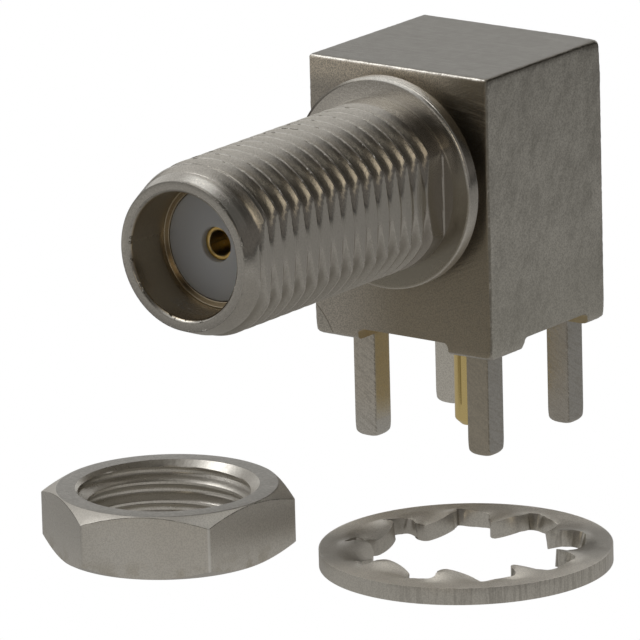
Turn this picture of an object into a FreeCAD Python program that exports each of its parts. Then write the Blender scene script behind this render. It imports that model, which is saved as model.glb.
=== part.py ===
import FreeCAD, Part
import os
import re
import Sketcher

# Right-angle coaxial jack for a printed board, with the hex nut and the lock washer of its panel mounting.
# Millimetres. The signal pin's axis meets the board's seating plane at the origin, +Z points up from the
# board, and the barrel points along -Y.

SIZES = {
    # Block, measured from the signal pin
    "block_width": 7.94,
    "block_front": 4.06,
    "block_back": 3.16,
    "block_top": 10.52,
    "block_edge": 0.12,
    "axis_height": 6.40,
    # Stand-off pads at the block's four corners, and the cross-shaped recess between them
    "recess_height": 0.45,
    "recess_fillet": 0.20,
    "pad_margin": 0.05,
    # Solder legs
    "leg_pitch": 5.08,
    "leg_side": 0.96,
    "leg_length": 4.00,
    "leg_tip_round": 0.22,
    # Bore of the block: barrel seat, solder chamber, and seat of the rear cap
    "seat_clearance": 0.02,
    "seat_relief": 0.10,
    "chamber_radius": 2.10,
    "cap_radius": 2.50,
    "cap_thickness": 0.60,
    "cap_recess": 0.08,
    "cap_edge": 0.12,
    # Barrel, measured from the block's front face
    "barrel_length": 12.95,
    "spigot_radius": 2.90,
    "spigot_length": 1.80,
    "neck_radius": 3.30,
    "flange_gap": 0.52,
    "flange_radius": 3.92,
    "flange_thickness": 0.57,
    "flange_edge": 0.15,
    "thread_radius": 3.175,
    "thread_flat": 2.742,
    "lead_length": 1.30,
    "rim_radius": 2.72,
    "mouth_radius": 2.30,
    "mouth_depth": 1.93,
    "mouth_chamfer": 0.09,
    # Barrel insulator
    "insulator_radius": 2.05,
    "collar_radius": 2.40,
    "collar_length": 1.20,
    # Socket contact
    "contact_radius": 0.61,
    "contact_recess": 0.22,
    "socket_radius": 0.46,
    "socket_depth": 3.00,
    "socket_chamfer": 0.03,
    "slot_width": 0.18,
    "slot_length": 2.40,
    "slot_turn": 71.0,
    "tail_radius": 0.95,
    "tail_overhang": 0.95,
    # Signal pin and its bead
    "pin_radius": 0.54,
    "pin_length": 3.85,
    "pin_tip_inset": 0.25,
    "pin_tip_height": 0.24,
    "pin_stem_radius": 0.36,
    "pin_neck_radius": 0.28,
    "pin_proud": 0.15,
    "bead_radius": 1.20,
    "bead_length": 3.20,
    # Hex nut, lying on a flat
    "nut_across_flats": 7.94,
    "nut_thickness": 2.30,
    "nut_chamfer_radius": 3.92,
    "nut_chamfer_angle": 30.0,
    "nut_thread_depth": 0.325,
    "nut_countersink": 0.085,
    "nut_beside": -0.18,
    "nut_before": 18.06,
    "nut_turn": 25.5,
    # Lock washer, lying on the low corners of its teeth
    "washer_radius": 5.15,
    "washer_thickness": 0.60,
    "washer_root_radius": 4.20,
    "washer_clearance": 0.075,
    "washer_beside": 10.10,
    "washer_before": 14.43,
    "washer_turn": 21.3,
    "tooth_count": 9,
    "tooth_seat_depth": 0.45,
    "tooth_seat_width": 2.50,
    "tooth_seat_thickness": 0.50,
    "tooth_root_width": 1.70,
    "tooth_root_twist": 6.0,
    "tooth_tip_width": 1.15,
    "tooth_tip_twist": 20.0,
}

# Places that several pieces share, written as expressions of the sizes
BACK_FACE = "-(block_front + block_back)"
CAP_FACE = f"{BACK_FACE} + cap_recess"
INTERFACE = "barrel_length - mouth_depth"
PAD_REACH = "leg_pitch / 2 - leg_side / 2 - pad_margin"
NUT_CORNER = "nut_across_flats / 2 / cos(30)"
TIP_DROP = ("tooth_tip_width / 2 * sin(tooth_tip_twist)"
            " - washer_thickness / 2 * (1 - cos(tooth_tip_twist))")


# Sheet of driving dimensions

doc = FreeCAD.newDocument("connector")
sheet = doc.addObject("Spreadsheet::Sheet", "Sizes")
for row, (alias, number) in enumerate(SIZES.items(), start=1):
    sheet.set(f"A{row}", alias)
    sheet.set(f"B{row}", str(number))
    sheet.setAlias(f"B{row}", alias)
doc.recompute()


def bound(expression):
    """The expression with each size name pointed at the sheet."""
    return re.sub(r"[a-z_]+", lambda word: f"Sizes.{word[0]}" if word[0] in SIZES else word[0], expression)


def value(expression):
    """The number that an expression of sizes gives."""
    result = sheet.evalExpression(bound(expression))
    return float(getattr(result, "Value", result))


def new_body(name):
    body = doc.addObject("PartDesign::Body", name)
    body.Label = name
    return body


def origin_item(body, role):
    """A plane or axis of the body's own origin."""
    return next(item for item in body.Origin.OriginFeatures if item.Role == role)


def sketch_on(body, role, name):
    sketch = body.newObject("Sketcher::SketchObject", name)
    sketch.AttachmentSupport = [(origin_item(body, role), "")]
    sketch.MapMode = "FlatFace"
    return sketch


def constrain(sketch, kind, geometry, point, expression):
    """Hold one coordinate of a sketch point at an expression of the sizes."""
    index = sketch.addConstraint(Sketcher.Constraint(kind, -1, 1, geometry, point, value(expression)))
    sketch.setExpression(f"Constraints[{index}]", bound(expression))


def outline(sketch, corners):
    """Draw a closed outline of straight lines through corners given as pairs of expressions."""
    places = [FreeCAD.Vector(value(across), value(along), 0) for across, along in corners]
    lines = [Part.LineSegment(*ends) for ends in zip(places, places[1:] + places[:1])]
    first = sketch.GeometryCount
    sketch.addGeometry(lines, False)
    for step, (across, along) in enumerate(corners):
        following = first + (step + 1) % len(corners)
        sketch.addConstraint(Sketcher.Constraint("Coincident", first + step, 2, following, 1))
        constrain(sketch, "DistanceX", first + step, 1, across)
        constrain(sketch, "DistanceY", first + step, 1, along)


def circle(sketch, radius, across="0", along="0"):
    """Draw a circle whose radius and centre are expressions."""
    centre = FreeCAD.Vector(value(across), value(along), 0)
    ring = Part.Circle(centre, FreeCAD.Vector(0, 0, 1), value(radius))
    number = sketch.addGeometry(ring, False)
    index = sketch.addConstraint(Sketcher.Constraint("Radius", number, value(radius)))
    sketch.setExpression(f"Constraints[{index}]", bound(radius))
    constrain(sketch, "DistanceX", number, 3, across)
    constrain(sketch, "DistanceY", number, 3, along)


def rectangle(sketch, left, right, low, high):
    outline(sketch, [(left, low), (right, low), (right, high), (left, high)])


def extrude(body, kind, name, sketch, length, **options):
    """Pad or pocket a sketch by an expression of the sizes."""
    feature = body.newObject(f"PartDesign::{kind}", name)
    feature.Profile = sketch
    feature.setExpression("Length", bound(length))
    for option, setting in options.items():
        setattr(feature, option, setting)
    doc.recompute()
    return feature


def revolve(body, kind, name, sketch, axis):
    """Turn a sketch once round one of its own axes."""
    feature = body.newObject(f"PartDesign::{kind}", name)
    feature.Profile = sketch
    feature.ReferenceAxis = (sketch, [axis])
    feature.Angle = 360
    doc.recompute()
    return feature


def polar_pattern(body, name, original, count):
    """Repeat a feature round the body's Z axis."""
    pattern = body.newObject("PartDesign::PolarPattern", name)
    pattern.Originals = [original]
    pattern.Axis = (origin_item(body, "Z_Axis"), [""])
    pattern.Angle = 360
    pattern.setExpression("Occurrences", bound(count))
    body.Tip = pattern
    doc.recompute()
    return pattern


def dress(body, kind, name, size, wanted):
    """Fillet or chamfer every edge of the body's tip that the test picks by its middle and its box."""
    base = body.Tip
    names = [f"Edge{number}" for number, edge in enumerate(base.Shape.Edges, start=1)
             if wanted(edge.BoundBox)]
    feature = body.newObject(f"PartDesign::{kind}", name)
    feature.Base = (base, names)
    feature.setExpression("Radius" if kind == "Fillet" else "Size", bound(size))
    doc.recompute()
    return feature


def near(number, target):
    return abs(number - target) < 1e-4


def flat_at(box, height):
    """True for an edge that lies level at a height."""
    return near(box.ZMin, height) and near(box.ZMax, height)


def turned(name, corners):
    """A piece turned round its own Z axis, its half outline given as radius and height."""
    body = new_body(name)
    profile = sketch_on(body, "XZ_Plane", f"{name}_outline")
    outline(profile, corners)
    revolve(body, "Revolution", f"{name}_turning", profile, "V_Axis")
    return body


def lay_on_barrel_axis(body):
    """Stand a turned piece on the block's front face, with its own Z axis along the barrel."""
    body.Placement = FreeCAD.Placement(FreeCAD.Vector(0, 0, 0), FreeCAD.Rotation(FreeCAD.Vector(1, 0, 0), 90))
    body.setExpression("Placement.Base.y", bound("-block_front"))
    body.setExpression("Placement.Base.z", bound("axis_height"))


# Block: one plated casting with its pads and legs, bored from front to back and up from below

def make_block():
    body = new_body("body_block")
    plan = sketch_on(body, "XY_Plane", "block_plan")
    rectangle(plan, "-block_width / 2", "block_width / 2", "-block_front", "block_back")
    extrude(body, "Pad", "block_pad", plan, "block_top")

    lengthwise = sketch_on(body, "XY_Plane", "lengthwise_recess_plan")
    rectangle(lengthwise, f"-({PAD_REACH})", PAD_REACH, "-block_front", "block_back")
    extrude(body, "Pocket", "lengthwise_recess", lengthwise, "recess_height", Reversed=True)
    crosswise = sketch_on(body, "XY_Plane", "crosswise_recess_plan")
    rectangle(crosswise, "-block_width / 2", "block_width / 2", f"-({PAD_REACH})", PAD_REACH)
    extrude(body, "Pocket", "crosswise_recess", crosswise, "recess_height", Reversed=True)

    reach = value(PAD_REACH)
    ceiling = value("recess_height")

    def under_recess(box):
        lengthwise_wall = near(abs(box.XMin), reach) and near(box.XMin, box.XMax)
        crosswise_wall = near(abs(box.YMin), reach) and near(box.YMin, box.YMax)
        return flat_at(box, ceiling) and (lengthwise_wall or crosswise_wall)

    dress(body, "Fillet", "recess_fillets", "recess_fillet", under_recess)

    half = value("block_width / 2")
    front = value("-block_front")
    back = value("block_back")
    top = value("block_top")

    def outer_edge(box):
        on_side = near(abs(box.XMin), half) and near(box.XMin, box.XMax)
        on_face = (near(box.YMin, front) or near(box.YMin, back)) and near(box.YMin, box.YMax)
        return (on_side and on_face) or flat_at(box, top)

    dress(body, "Fillet", "block_edges", "block_edge", outer_edge)

    bore = sketch_on(body, "YZ_Plane", "bore_outline")
    bore.setExpression("AttachmentOffset.Base.y", bound("axis_height"))
    cap_seat = f"-block_front - ({CAP_FACE}) - cap_thickness"
    bore_end = "-block_front + spigot_length + seat_relief"
    outline(bore, [
        ("-block_front", "0"),
        ("-block_front", "spigot_radius + seat_clearance"),
        (bore_end, "spigot_radius + seat_clearance"),
        (bore_end, "chamber_radius"),
        (cap_seat, "chamber_radius"),
        (cap_seat, "cap_radius + seat_clearance"),
        ("block_back", "cap_radius + seat_clearance"),
        ("block_back", "0"),
    ])
    revolve(body, "Groove", "stepped_bore", bore, "H_Axis")

    passage = sketch_on(body, "XY_Plane", "pin_passage_plan")
    circle(passage, "bead_radius + seat_clearance")
    extrude(body, "Pocket", "pin_passage", passage, "axis_height", Reversed=True)

    leg_plan = sketch_on(body, "XY_Plane", "leg_plan")
    inner = "leg_pitch / 2 - leg_side / 2"
    outer = "leg_pitch / 2 + leg_side / 2"
    rectangle(leg_plan, inner, outer, inner, outer)
    leg = extrude(body, "Pad", "leg", leg_plan, "leg_length", Reversed=True)
    polar_pattern(body, "legs", leg, "4")
    foot = value("-leg_length")
    dress(body, "Fillet", "leg_tips", "leg_tip_round", lambda box: flat_at(box, foot))
    return body


# Barrel: turned in one piece, with a spigot pressed into the block and one flat along its thread

def make_barrel():
    flange_face = "flange_gap + flange_thickness"
    body = turned("barrel", [
        ("insulator_radius + seat_clearance", "collar_length - spigot_length"),
        ("collar_radius + seat_clearance", "collar_length - spigot_length"),
        ("collar_radius + seat_clearance", "-spigot_length"),
        ("spigot_radius", "-spigot_length"),
        ("spigot_radius", "0"),
        ("neck_radius", "0"),
        ("neck_radius", "flange_gap"),
        ("flange_radius", "flange_gap"),
        ("flange_radius", flange_face),
        ("thread_radius", flange_face),
        ("thread_radius", "barrel_length - lead_length"),
        ("rim_radius", "barrel_length"),
        ("mouth_radius + mouth_chamfer", "barrel_length"),
        ("mouth_radius", "barrel_length - mouth_chamfer"),
        ("mouth_radius", INTERFACE),
        ("insulator_radius + seat_clearance", INTERFACE),
    ])
    rim = value("flange_radius")
    face = value(flange_face)
    dress(body, "Fillet", "flange_edge_round", "flange_edge",
          lambda box: flat_at(box, face) and near(box.XMax, rim))

    flat = sketch_on(body, "XZ_Plane", "flat_side_view")
    rectangle(flat, "thread_flat", "thread_radius + flange_edge", flange_face, "barrel_length")
    extrude(body, "Pocket", "thread_flat_cut", flat, "2 * thread_radius", Midplane=True)
    lay_on_barrel_axis(body)
    return body


# Barrel insulator: a sleeve with a collar that the barrel's rear counterbore and the block hold

def make_barrel_insulator():
    body = turned("barrel_insulator", [
        ("contact_radius + seat_clearance", "-spigot_length"),
        ("collar_radius", "-spigot_length"),
        ("collar_radius", "collar_length - spigot_length"),
        ("insulator_radius", "collar_length - spigot_length"),
        ("insulator_radius", INTERFACE),
        ("contact_radius + seat_clearance", INTERFACE),
    ])
    lay_on_barrel_axis(body)
    return body


# Socket contact: turned, drilled and slotted at the mouth, cross-drilled at the tail for the signal pin

def make_socket_contact():
    mouth = f"{INTERFACE} - contact_recess"
    tail_end = "-(block_front + tail_overhang)"
    body = turned("socket_contact", [
        ("0", tail_end),
        ("tail_radius", tail_end),
        ("tail_radius", "-spigot_length"),
        ("contact_radius", "-spigot_length"),
        ("contact_radius", mouth),
        ("socket_radius + socket_chamfer", mouth),
        ("socket_radius", f"{mouth} - socket_chamfer"),
        ("socket_radius", f"{mouth} - socket_depth"),
        ("0", f"{mouth} - socket_depth"),
    ])
    slot = sketch_on(body, "XZ_Plane", "slot_side_view")
    slot.AttachmentOffset = FreeCAD.Placement(FreeCAD.Vector(0, 0, 0),
                                              FreeCAD.Rotation(FreeCAD.Vector(0, 1, 0), value("slot_turn")))
    slot.setExpression("AttachmentOffset.Rotation.Angle", bound("slot_turn"))
    rectangle(slot, "-slot_width / 2", "slot_width / 2", f"{mouth} - slot_length", mouth)
    extrude(body, "Pocket", "socket_slot", slot, "2 * contact_radius", Reversed=True)

    cross_hole = sketch_on(body, "XZ_Plane", "cross_hole_plan")
    circle(cross_hole, "pin_neck_radius + seat_clearance", "0", "-block_front")
    extrude(body, "Pocket", "cross_hole", cross_hole, "4 * tail_radius", Midplane=True)
    lay_on_barrel_axis(body)
    return body


# Signal pin: round below its bead, with a chamfered tip, a stem through the bead and a neck through the
# contact's tail

def make_signal_pin():
    shoulder = "axis_height - tail_radius - seat_clearance"
    neck_end = "axis_height + tail_radius + pin_proud"
    return turned("signal_pin", [
        ("0", "-pin_length"),
        ("pin_radius - pin_tip_inset", "-pin_length"),
        ("pin_radius", "pin_tip_height - pin_length"),
        ("pin_radius", "recess_height"),
        ("pin_stem_radius", "recess_height"),
        ("pin_stem_radius", shoulder),
        ("pin_neck_radius", shoulder),
        ("pin_neck_radius", neck_end),
        ("0", neck_end),
    ])


# Pin insulator: a bead pressed up the pin's passage, flush with the recess

def make_pin_insulator():
    bead_top = "recess_height + bead_length"
    return turned("pin_insulator", [
        ("pin_stem_radius + seat_clearance", "recess_height"),
        ("bead_radius", "recess_height"),
        ("bead_radius", bead_top),
        ("pin_stem_radius + seat_clearance", bead_top),
    ])


# Rear cap: a plate pressed into the block's back against the end of the solder chamber

def make_rear_cap():
    body = turned("rear_cap", [
        ("0", CAP_FACE),
        ("cap_radius - cap_edge", CAP_FACE),
        ("cap_radius", f"{CAP_FACE} + cap_edge"),
        ("cap_radius", f"{CAP_FACE} + cap_thickness"),
        ("0", f"{CAP_FACE} + cap_thickness"),
    ])
    lay_on_barrel_axis(body)
    return body


def lay_on_floor(body, name, drop):
    """Turn a loose piece and lay it in front of the block, where the legs' ends are."""
    body.Placement = FreeCAD.Placement(FreeCAD.Vector(0, 0, 0),
                                       FreeCAD.Rotation(FreeCAD.Vector(0, 0, 1), value(f"{name}_turn")))
    body.setExpression("Placement.Base.x", bound(f"{name}_beside"))
    body.setExpression("Placement.Base.y", bound(f"-{name}_before"))
    body.setExpression("Placement.Base.z", bound(f"-leg_length + {drop}"))
    body.setExpression("Placement.Rotation.Angle", bound(f"{name}_turn"))


# Hex nut: hexagon with its corners turned off on both faces, and a countersunk thread bore

def make_hex_nut():
    body = new_body("hex_nut")
    plan = sketch_on(body, "XY_Plane", "nut_plan")
    outline(plan, [(f"{NUT_CORNER} * cos({turn})", f"{NUT_CORNER} * sin({turn})") for turn in range(0, 360, 60)])
    extrude(body, "Pad", "nut_pad", plan, "nut_thickness")

    corner = sketch_on(body, "XZ_Plane", "nut_corner_outline")
    clear = f"2 * ({NUT_CORNER}) - nut_chamfer_radius"
    fall = f"({clear} - nut_chamfer_radius) * tan(nut_chamfer_angle)"
    outline(corner, [("nut_chamfer_radius", "nut_thickness"), (clear, "nut_thickness"),
                     (clear, f"nut_thickness - {fall}")])
    outline(corner, [("nut_chamfer_radius", "0"), (clear, "0"), (clear, fall)])
    revolve(body, "Groove", "nut_corner_chamfers", corner, "V_Axis")

    bore = sketch_on(body, "XY_Plane", "nut_bore_plan")
    circle(bore, "thread_radius - nut_thread_depth")
    extrude(body, "Pocket", "nut_bore", bore, "nut_thickness", Reversed=True)
    bore_radius = value("thread_radius - nut_thread_depth")
    dress(body, "Chamfer", "nut_countersinks", "nut_thread_depth + nut_countersink",
          lambda box: near(box.XMax, bore_radius) and near(box.ZMin, box.ZMax))
    lay_on_floor(body, "nut", "0")
    return body


# Lock washer: a punched ring whose inner teeth are each twisted about their own middle line

def tooth_section(body, name, radius, width, thickness, twist):
    """A cross-section of the tooth, across its middle line at a radius and turned by its twist."""
    section = sketch_on(body, "YZ_Plane", name)
    section.AttachmentOffset = FreeCAD.Placement(FreeCAD.Vector(0, 0, 0),
                                                 FreeCAD.Rotation(FreeCAD.Vector(0, 0, 1), -value(twist)))
    section.setExpression("AttachmentOffset.Base.y", bound("washer_thickness / 2"))
    section.setExpression("AttachmentOffset.Base.z", bound(radius))
    section.setExpression("AttachmentOffset.Rotation.Angle", bound(f"-{twist}"))
    rectangle(section, f"-{width} / 2", f"{width} / 2", f"-{thickness} / 2", f"{thickness} / 2")
    return section


def make_lock_washer():
    body = new_body("lock_washer")
    plan = sketch_on(body, "XY_Plane", "washer_plan")
    circle(plan, "washer_radius")
    circle(plan, "washer_root_radius")
    extrude(body, "Pad", "washer_ring", plan, "washer_thickness")

    seat = tooth_section(body, "tooth_seat", "washer_root_radius + tooth_seat_depth",
                         "tooth_seat_width", "tooth_seat_thickness", "0 * tooth_root_twist")
    root = tooth_section(body, "tooth_root", "washer_root_radius",
                         "tooth_root_width", "washer_thickness", "tooth_root_twist")
    tip = tooth_section(body, "tooth_tip", "thread_radius + washer_clearance",
                        "tooth_tip_width", "washer_thickness", "tooth_tip_twist")
    tooth = body.newObject("PartDesign::AdditiveLoft", "twisted_tooth")
    tooth.Profile = seat
    tooth.Sections = [root, tip]
    doc.recompute()
    polar_pattern(body, "twisted_teeth", tooth, "tooth_count")
    lay_on_floor(body, "washer", TIP_DROP)
    return body


pieces = [
    make_block(),
    make_barrel(),
    make_barrel_insulator(),
    make_socket_contact(),
    make_signal_pin(),
    make_pin_insulator(),
    make_rear_cap(),
    make_hex_nut(),
    make_lock_washer(),
]
doc.recompute()

for item in doc.Objects:
    if {"Invalid", "Error"} & set(item.State):
        raise SystemExit(f"{item.Label} failed: {item.State}")
for piece in pieces:
    if piece.Shape.isNull() or not piece.Shape.isValid() or len(piece.Shape.Solids) != 1:
        raise SystemExit(f"{piece.Label} isn't one sound solid")

os.makedirs("parts", exist_ok=True)
for piece in pieces:
    piece.Shape.exportStep(os.path.join("parts", f"{piece.Label}.step"))
    box = piece.Shape.BoundBox
    print(f"{piece.Label}: volume {piece.Shape.Volume:.3f}, x {box.XMin:.3f} {box.XMax:.3f}, "
          f"y {box.YMin:.3f} {box.YMax:.3f}, z {box.ZMin:.3f} {box.ZMax:.3f}")
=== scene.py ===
import math

import bmesh
import bpy
import numpy as np
from mathutils import Matrix, Vector, noise


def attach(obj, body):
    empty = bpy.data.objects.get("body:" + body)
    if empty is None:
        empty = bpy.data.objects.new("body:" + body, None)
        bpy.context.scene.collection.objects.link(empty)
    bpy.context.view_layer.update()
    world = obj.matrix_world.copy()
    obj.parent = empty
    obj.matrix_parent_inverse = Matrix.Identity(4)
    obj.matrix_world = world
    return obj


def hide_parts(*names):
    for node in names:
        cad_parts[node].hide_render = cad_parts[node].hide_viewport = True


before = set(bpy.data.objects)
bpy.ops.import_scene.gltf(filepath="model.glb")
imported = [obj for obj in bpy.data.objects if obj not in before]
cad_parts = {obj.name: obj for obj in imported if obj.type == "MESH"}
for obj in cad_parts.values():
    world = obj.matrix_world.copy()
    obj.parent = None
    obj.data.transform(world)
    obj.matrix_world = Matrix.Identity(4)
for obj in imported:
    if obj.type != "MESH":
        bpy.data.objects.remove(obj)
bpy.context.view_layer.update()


# Block
# A die-cast brass block with nickel plating, its top brushed and its sides dull from the casting. It is
# bored from the front for the barrel, from the back for the cap and from below for the signal pin.

MM = 0.001


def add(tree, kind, inputs=(), **options):
    """Add a node, set its options, and wire or set its inputs by name or number."""
    node = tree.nodes.new(kind)
    for option, choice in options.items():
        setattr(node, option, choice)
    for key, given in dict(inputs).items():
        wire(tree, given, node.inputs[key])
    return node


def wire(tree, given, socket):
    if isinstance(given, Term):
        given = given.socket
    if isinstance(given, bpy.types.NodeSocket):
        tree.links.new(given, socket)
    else:
        socket.default_value = given


class Term:
    """A number in a node tree. Sums and products of terms become the tree's Math nodes."""

    def __init__(self, tree, socket):
        self.tree = tree
        self.socket = socket

    def math(self, operation, *others):
        node = add(self.tree, "ShaderNodeMath", enumerate([self, *others]), operation=operation)
        return Term(self.tree, node.outputs[0])

    def __add__(self, other):
        return self.math("ADD", other)

    def __sub__(self, other):
        return self.math("SUBTRACT", other)

    def __rsub__(self, other):
        return self.math("MULTIPLY_ADD", -1.0, other)

    def __mul__(self, other):
        return self.math("MULTIPLY", other)

    def __truediv__(self, other):
        return self.math("DIVIDE", other)

    def __pow__(self, other):
        return self.math("POWER", other)

    __radd__ = __add__

    def unsigned(self):
        return self.math("ABSOLUTE")

    def above(self, low, high):
        """0 below low and 1 above high, smooth between."""
        node = add(self.tree, "ShaderNodeMapRange", {0: self, 1: low, 2: high},
                   interpolation_type="SMOOTHSTEP")
        return Term(self.tree, node.outputs[0])

    def below(self, low, high):
        """1 below low and 0 above high, smooth between."""
        return 1.0 - self.above(low, high)


def parts(tree, vector):
    """The X, Y and Z of a vector in a node tree."""
    return [Term(tree, part) for part in add(tree, "ShaderNodeSeparateXYZ", {0: vector}).outputs]


def in_millimetres(tree):
    """Object coordinates in millimetres."""
    metres = add(tree, "ShaderNodeTexCoord").outputs["Object"]
    return add(tree, "ShaderNodeVectorMath", {0: metres, 1: [1 / MM] * 3}, operation="MULTIPLY").outputs[0]


def distance(tree, place, point, axes=(1.0, 1.0, 1.0)):
    """How far a place is from a point, measured along the chosen axes only."""
    here = add(tree, "ShaderNodeVectorMath", {0: place, 1: axes}, operation="MULTIPLY")
    there = [p * a for p, a in zip(point, axes)]
    away = add(tree, "ShaderNodeVectorMath", {0: here.outputs[0], 1: there}, operation="DISTANCE")
    return Term(tree, away.outputs["Value"])


class Finish:
    """A material on object coordinates in millimetres. Its relief and stains are added one after another."""

    def __init__(self, name, colour, roughness, metallic=1.0, **sockets):
        self.material = bpy.data.materials.new(name)
        self.material.use_nodes = True
        self.tree = self.material.node_tree
        self.shader = self.tree.nodes["Principled BSDF"]
        self.shader.inputs["Metallic"].default_value = metallic
        self.shader.inputs["Base Color"].default_value = (*colour, 1.0)
        self.shader.inputs["Roughness"].default_value = roughness
        for socket, value in sockets.items():
            self.shader.inputs[socket.replace("_", " ")].default_value = value
        self.place = in_millimetres(self.tree)
        self.x, self.y, self.z = parts(self.tree, self.place)
        outward = add(self.tree, "ShaderNodeNewGeometry").outputs["Normal"]
        self.right, self.back, self.up = parts(self.tree, outward)
        self.normal = None
        self.colour = None

    def distance(self, point, axes=(1.0, 1.0, 1.0)):
        return distance(self.tree, self.place, point, axes)

    def noise(self, scale, turn=(0.0, 0.0, 0.0), detail=3.0, roughness=0.55):
        """Noise turned by degrees, then stretched by a number of cells per millimetre along each axis."""
        turned = add(self.tree, "ShaderNodeMapping", {0: self.place, 2: [math.radians(t) for t in turn]})
        scaled = add(self.tree, "ShaderNodeVectorMath", {0: turned.outputs[0], 1: scale},
                     operation="MULTIPLY")
        made = add(self.tree, "ShaderNodeTexNoise", {"Vector": scaled.outputs[0], "Scale": 1.0,
                                                     "Detail": detail, "Roughness": roughness})
        return Term(self.tree, made.outputs[0])

    def even_noise(self, scale, detail=3.0, roughness=0.55):
        return self.noise((scale, scale, scale), detail=detail, roughness=roughness)

    def relief(self, height, depth):
        """Raise the surface by a height of 0 to 1 times a depth in millimetres."""
        inputs = {"Height": height, "Distance": depth * MM, "Strength": 1.0}
        if self.normal:
            inputs["Normal"] = self.normal
        self.normal = add(self.tree, "ShaderNodeBump", inputs).outputs[0]
        wire(self.tree, self.normal, self.shader.inputs["Normal"])

    def stain(self, share, colour):
        """Mix a colour over the base colour by a share of 0 to 1."""
        under = self.colour or self.shader.inputs["Base Color"].default_value[:]
        mixed = add(self.tree, "ShaderNodeMix", {0: share, 6: under, 7: (*colour, 1.0)}, data_type="RGBA")
        self.colour = mixed.outputs[2]
        wire(self.tree, self.colour, self.shader.inputs["Base Color"])

    def speckle(self, share):
        """The fine dark grain that the plating has everywhere."""
        self.stain(self.even_noise(19.0, 2.0).above(0.42, 0.60) * share, (0.22, 0.21, 0.185))

    def rough(self, term):
        wire(self.tree, term, self.shader.inputs["Roughness"])


def new_mesh(name, points, faces):
    mesh = bpy.data.meshes.new(name)
    mesh.from_pydata([tuple(p) for p in points], [], faces)
    mesh.validate()
    return mesh


def closed_mesh(name, points, faces, weld):
    """A closed mesh with its points welded within a distance and its faces turned outward."""
    mesh = new_mesh(name, points, faces)
    work = bmesh.new()
    work.from_mesh(mesh)
    bmesh.ops.remove_doubles(work, verts=work.verts, dist=weld * MM)
    bmesh.ops.dissolve_degenerate(work, edges=work.edges, dist=weld * MM)
    bmesh.ops.recalc_face_normals(work, faces=work.faces)
    work.to_mesh(mesh)
    work.free()
    return mesh


def grid_faces(columns, rows, start=0):
    """Quads between grid points that are listed column by column."""
    return [(start + c * rows + r, start + (c + 1) * rows + r,
             start + (c + 1) * rows + r + 1, start + c * rows + r + 1)
            for c in range(columns - 1) for r in range(rows - 1)]


def shaped_box(name, lines, shape):
    """A box with grid lines along X, Y and Z on its sides, whose points a function moves."""
    points, faces = [], []
    for fixed in range(3):
        first, second = [lines[axis] for axis in range(3) if axis != fixed]
        for level in (lines[fixed][0], lines[fixed][-1]):
            faces += grid_faces(len(first), len(second), len(points))
            for a in first:
                for b in second:
                    here = [a, b]
                    here.insert(fixed, level)
                    points.append(shape(*here))
    return closed_mesh(name, points, faces, 0.002)


def turned_mesh(name, profile, columns, to_frame):
    """Turn a closed profile of (radius, height) round the local Z axis and move it into the row's frame."""
    points = []
    for radius, height in profile:
        for column in range(columns):
            angle = 2 * math.pi * column / columns
            local = Vector((radius * math.cos(angle), radius * math.sin(angle), height)) * MM
            points.append(to_frame @ local)
    rows = len(profile)
    faces = [(row * columns + column, row * columns + (column + 1) % columns,
              (row + 1) % rows * columns + (column + 1) % columns, (row + 1) % rows * columns + column)
             for row in range(rows) for column in range(columns)]
    return closed_mesh(name, points, faces, 0.0005)


def applied(mesh, prepare):
    """The mesh after the modifiers that a function adds to an object made of it."""
    carrier = bpy.data.objects.new("carrier", mesh)
    bpy.context.scene.collection.objects.link(carrier)
    others = prepare(carrier) or []
    bpy.context.view_layer.update()
    result = bpy.data.meshes.new_from_object(carrier.evaluated_get(bpy.context.evaluated_depsgraph_get()))
    for spare in [carrier, *others]:
        bpy.data.objects.remove(spare)
    return result


def cut(mesh, cutter):
    """The mesh less a cutter mesh."""
    def prepare(carrier):
        tool = bpy.data.objects.new("cutter", cutter)
        bpy.context.scene.collection.objects.link(tool)
        step = carrier.modifiers.new("cut", "BOOLEAN")
        step.object = tool
        step.solver = "EXACT"
        return [tool]
    return applied(mesh, prepare)


def piece(name, mesh, finish, nodes, smooth=35.0):
    """Make the shown piece that stands for some CAD nodes, smooth except at edges sharper than an angle."""
    mesh.name = name
    mesh.materials.clear()
    mesh.materials.append(finish.material)
    mesh.shade_smooth()
    mesh.set_sharp_from_angle(angle=math.radians(smooth))
    made = bpy.data.objects.new(name, mesh)
    bpy.context.scene.collection.objects.link(made)
    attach(made, "root")
    if nodes:
        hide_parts(*nodes)


HALF_WIDTH, FRONT, BACK, TOP = 3.97, -4.06, 3.16, 10.52
PAD_INNER, RECESS_HEIGHT, RECESS_FILLET = 2.01, 0.45, 0.20
AXIS_HEIGHT = 6.40
EDGE_ROUND, EDGE_WEAR, EXTRA_ROUND = 0.145, 0.024, 0.10
EDGE_ZONE, GRID_STEP = 0.14, 0.14
SPIGOT, CHAMBER, CAP, BEAD, PLAY = 2.90, 2.10, 2.50, 1.20, 0.02
CAP_INNER, CAP_OUTER = -6.54, -7.14
# Painted shade: the tops of the block and the nut are painted darker with this colour
PAINTED_TOP_SHADE = (0.255, 0.245, 0.225)

ALONG_BARREL = (Matrix.Translation(Vector((0, FRONT, AXIS_HEIGHT)) * MM)
                @ Matrix.Rotation(math.pi / 2, 4, "X"))


def spaced(low, high, edge, extra=()):
    """Grid lines across a side: close together within an edge zone, then a grid step apart."""
    count = round((high - low - 2 * edge) / GRID_STEP)
    zone = [edge * s for s in (0, 0.12, 0.3, 0.5, 0.75)]
    lines = [low + s for s in zone] + list(np.linspace(low + edge, high - edge, count + 1))
    lines += [high - s for s in reversed(zone)] + list(extra)
    return sorted(set(round(line, 5) for line in lines))


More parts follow.
